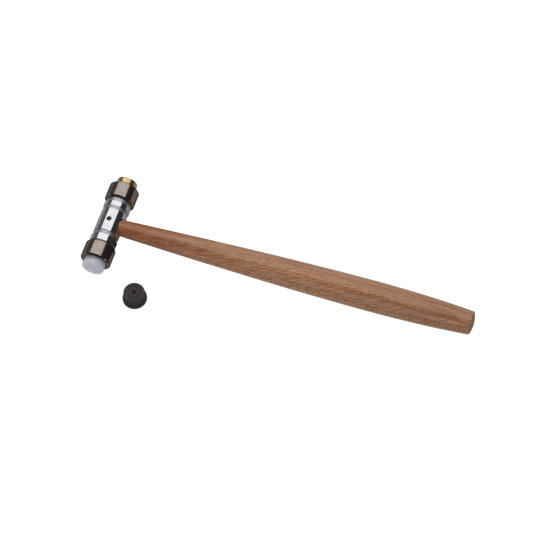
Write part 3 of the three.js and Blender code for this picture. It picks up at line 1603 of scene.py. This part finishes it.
@dataclass(frozen=True)
class Softbox:
    """A flat rectangular light that shows as a sharp-edged white patch in polished metal.

    Attributes:
        name: The light's name.
        facing: Which way it shines.
        centre: Its middle, in metres from where the head's and the handle's axes cross.
        width: Its first side, in metres.
        length: Its second side, in metres.
        radiance: Brightness of its surface.
        shine: Which surfaces it acts on.
        only: Name of the one piece that it lights, or nothing where it lights all.
    """

    name: str
    facing: Facing
    centre: tuple[float, float, float]
    width: float
    length: float
    radiance: float
    shine: Shine = Shine.ALL
    only: str = ""

    def build(self, crossing: Vector) -> None:
        """Hangs the light.

        Args:
            crossing: Where the head's and the handle's axes cross.
        """
        light = bpy.data.lights.new(self.name, "AREA")
        light.shape = "RECTANGLE"
        light.size = self.width
        light.size_y = self.length
        light.energy = self.radiance * math.pi * self.width * self.length
        across, along = (Vector(side) for side in self.facing.value)
        lamp = bpy.data.objects.new(self.name, light)
        turned = Matrix((across, along, across.cross(along))).transposed()
        lamp.matrix_world = Matrix.Translation(crossing + Vector(self.centre)) @ turned.to_4x4()
        lamp.visible_camera = False
        lamp.visible_diffuse, lamp.visible_glossy = self.shine.value
        bpy.context.scene.collection.objects.link(lamp)
        if self.only:
            lit = bpy.data.collections.new("lit_by_" + self.name)
            lit.objects.link(bpy.data.objects[self.only])
            lamp.light_linking.receiver_collection = lit


KEY = Softbox(
    "key_softbox", Facing.DOWN, centre=(-0.215, 0.53, 1.0), width=1.91, length=1.46, radiance=1.25
)
BACK_WALL = Softbox(
    "back_wall", Facing.TO_FRONT, centre=(-0.19, 1.5, 0.42), width=1.42, length=0.64, radiance=0.8,
    shine=Shine.POLISHED,
)
LEFT_WALL = Softbox(
    "left_wall", Facing.TO_RIGHT, centre=(-1.3, 0.2, 0.45), width=2.2, length=0.9, radiance=0.085
)
# Lights the matt fronts, and has no mirror image, which would turn the plate's dark sides bright.
FRONT_FILL = Softbox(
    "front_fill", Facing.TO_BACK, centre=(0.0, -1.2, 1.0), width=2.4, length=1.0, radiance=0.95,
    shine=Shine.MATT,
)
# Gives the handle's varnish its sheen, and lights nothing else, because the plate would show it too.
HANDLE_CARD = Softbox(
    "handle_card", Facing.TO_BACK, centre=(0.2, -1.2, 0.57), width=0.8, length=0.94, radiance=1.0,
    shine=Shine.POLISHED, only="turned_handle",
)
# Carries the key on towards the front, where the outer slope of the brass side's groove faces.
GROOVE_CARD = Softbox(
    "groove_card", Facing.DOWN, centre=(-0.215, -0.36, 1.0), width=1.91, length=0.32, radiance=1.25,
    shine=Shine.POLISHED, only="chromed_barrel",
)


@dataclass(frozen=True)
class Studio:
    """The bench, the cards beside the hammer, the lights and the camera.

    Attributes:
        places: The hammer's own frames.
        azimuth: The camera's turn from the front, in degrees.
        elevation: The camera's height above the horizon, in degrees.
        distance: From camera to aim, in millimetres.
        aim: The point that the camera looks at, from the crossing, in millimetres.
        focal: The camera's focal length in image widths.
        clip: The nearest and the furthest that the camera sees, in metres.
        floor_radius: Size of the bench, in metres.
        shell_radius: Size of the white surround, in metres.
        shell_steps: How often the surround's faces are split.
        under_floor: How far the mirrored table lies below the bench, in millimetres.
        room_light: Brightness of the dark room.
        dark_card: Two opposite corners of the card on the bench, a painted shadow under the neck, from the
            crossing, in millimetres.
        card_lift: Height of that card and of the brown cards' lower edges, in millimetres.
        painted_reflection_ends: Where the front brown card, a painted reflection of the neck's shaded side,
            starts and ends, from the crossing, in millimetres. The back card is its mirror image.
        painted_reflection_top: Height of the brown cards' upper edges, in millimetres.
        lights: The softboxes and the lit cards.
    """

    places: Places
    azimuth: float = 17.16
    elevation: float = 61.42
    distance: float = 923.8
    aim: tuple[float, float, float] = (94.78, 0.62, 0.0)
    focal: float = 3.0283
    clip: Span = (0.01, 50.0)
    floor_radius: float = 2.4
    shell_radius: float = 4.8
    shell_steps: int = 4
    under_floor: float = 0.5
    room_light: float = 0.04
    dark_card: tuple[Point, Point] = ((9.0, -9.5), (60.0, 0.0))
    card_lift: float = 0.3
    painted_reflection_ends: tuple[Point, Point] = ((10.5, -5.9), (62.0, -7.9))
    painted_reflection_top: float = 15.2
    lights: tuple[Softbox, ...] = (KEY, BACK_WALL, LEFT_WALL, FRONT_FILL, HANDLE_CARD, GROOVE_CARD)

    def build(self) -> None:
        """Builds the bench, the room, the lights and the camera."""
        self._bench()
        self._room()
        for light in self.lights:
            light.build(self.places.crossing)
        self._camera()
        view = bpy.context.scene.view_settings
        view.view_transform = "Standard"
        view.look = "None"

    def _bench(self) -> None:
        """The table tops, the white surround and the cards, each seen by the rays that it is there for.

        A table lit from below turns the background white. Its glow would wash out the hammer's
        underside and the reflections in the plate, so a dimmer table lights the matt surfaces, and
        polished ones mirror a grey sheet just under it, with a dark card at the neck as painted shadow and
        two brown cards beside it as a painted reflection of the neck's shaded sides.
        """
        white = LIT_TABLE.material()
        seen_by = {
            self._disc("lit_table", 0.0, white): ("camera",),
            self._disc("bounce_table", 0.0, DIM_TABLE.material()): ("diffuse",),
            self._disc("mirrored_table", -self.under_floor, GREY_TABLE.material()): ("glossy",),
            self._painted_shadow_card(): ("diffuse", "glossy"),
            self._shell(white): ("camera",),
            self._painted_reflection_card("front_flag", 1.0): ("glossy",),
            self._painted_reflection_card("back_flag", -1.0): ("glossy",),
        }
        for thing, rays in seen_by.items():
            for ray in ("camera", "diffuse", "glossy", "transmission", "volume_scatter", "shadow"):
                setattr(thing, "visible_" + ray, ray in rays)

    def _disc(self, name: str, height: float, material: bpy.types.Material) -> Object:
        """A wide flat table top.

        Args:
            name: Its name.
            height: Its height above the bench, in millimetres.
            material: What it is made of.

        Returns:
            The disc.
        """
        work = bmesh.new()
        bmesh.ops.create_circle(work, cap_ends=True, segments=SEGMENTS, radius=self.floor_radius)
        return self._sheet(name, work, Matrix.Translation((0, 0, height * MM)), material)

    def _shell(self, material: bpy.types.Material) -> Object:
        """The white surround, a ball round the whole studio.

        Args:
            material: What it is made of.

        Returns:
            The ball.
        """
        work = bmesh.new()
        bmesh.ops.create_icosphere(work, subdivisions=self.shell_steps, radius=self.shell_radius)
        return self._sheet("white_surround", work, Matrix.Identity(4), material)

    def _painted_shadow_card(self) -> Object:
        """A dark card on the bench under the front of the neck, which gives the plate its dark edge.

        Returns:
            The card.
        """
        # Painted shadow: the card lies where the neck's shadow would fall on the bench.
        (left, front), (right, back) = self.dark_card
        corners = [(left, front, 0.0), (right, front, 0.0), (right, back, 0.0), (left, back, 0.0)]
        return self._card("dark_card", corners, self.card_lift, PAINTED_SHADOW_CARD)

    def _painted_reflection_card(self, name: str, side: float) -> Object:
        """A brown card that stands beside the neck, which the plate mirrors in its place.

        Args:
            name: The card's name.
            side: 1 in front of the neck, -1 behind it.

        Returns:
            The card.
        """
        # Painted reflection: the plate mirrors this brown card in place of the neck's shaded side.
        near, far = ((along, side * aside) for along, aside in self.painted_reflection_ends)
        low = self.card_lift
        corners = [(*near, low), (*far, low), (*far, self.painted_reflection_top), (*near, self.painted_reflection_top)]
        return self._card(name, corners, 0.0, PAINTED_NECK_REFLECTION)

    def _card(
        self, name: str, corners: Sequence[tuple[float, float, float]], height: float, finish: Finish
    ) -> Object:
        """A flat card with four corners.

        Args:
            name: The card's name.
            corners: Its corners, in millimetres from the bench under the crossing.
            height: How far it is raised, in millimetres.
            finish: What it is made of.

        Returns:
            The card.
        """
        work = bmesh.new()
        work.faces.new([work.verts.new(Vector(corner) * MM) for corner in corners])
        return self._sheet(name, work, self.places.on_bench(height), finish.material())

    @staticmethod
    def _sheet(name: str, work: bmesh.types.BMesh, where: Matrix, material: bpy.types.Material) -> Object:
        """Turns worked faces into an object of the studio.

        Args:
            name: The object's name.
            work: Its faces, which are freed.
            where: Its place.
            material: What it is made of.

        Returns:
            The object.
        """
        mesh = bpy.data.meshes.new(name)
        work.to_mesh(mesh)
        work.free()
        mesh.materials.append(material)
        return place_mesh(name, mesh, where)

    def _room(self) -> None:
        """The dark room round the bench."""
        world = bpy.data.worlds.new("dark_room")
        world.use_nodes = True
        back = world.node_tree.nodes["Background"]
        back.inputs["Color"].default_value = (self.room_light, self.room_light, self.room_light, 1.0)
        bpy.context.scene.world = world

    def _camera(self) -> None:
        """The camera at the photograph's viewing angle."""
        data = bpy.data.cameras.new("camera")
        data.lens = self.focal * data.sensor_width
        data.clip_start, data.clip_end = self.clip
        turn = math.radians(self.azimuth)
        height = math.radians(self.elevation)
        level = math.cos(height)
        back = Vector((math.sin(turn) * level, -math.cos(turn) * level, math.sin(height)))
        camera = bpy.data.objects.new("camera", data)
        aim = self.places.crossing + Vector(self.aim) * MM
        camera.location = aim + back * self.distance * MM
        camera.rotation_euler = back.to_track_quat("Z", "Y").to_euler()
        bpy.context.scene.collection.objects.link(camera)
        bpy.context.scene.camera = camera


def main() -> None:
    """Builds the hammer and the studio."""
    logging.basicConfig(level=logging.INFO, format="%(name)s: %(message)s")
    places = Places()
    Head(places).build()
    Handle(places).build()
    Studio(places).build()
    collars = [
        ScrewCollar(places.brass_end(), "brass_collar", Body.BRASS_COLLAR, places.crossing),
        ScrewCollar(places.nylon_end(), "nylon_collar", Body.NYLON_COLLAR, places.crossing),
    ]
    for part in [*collars, *striking_faces(places)]:
        part.build()
    bpy.context.view_layer.update()


if __name__ == "__main__":
    main()
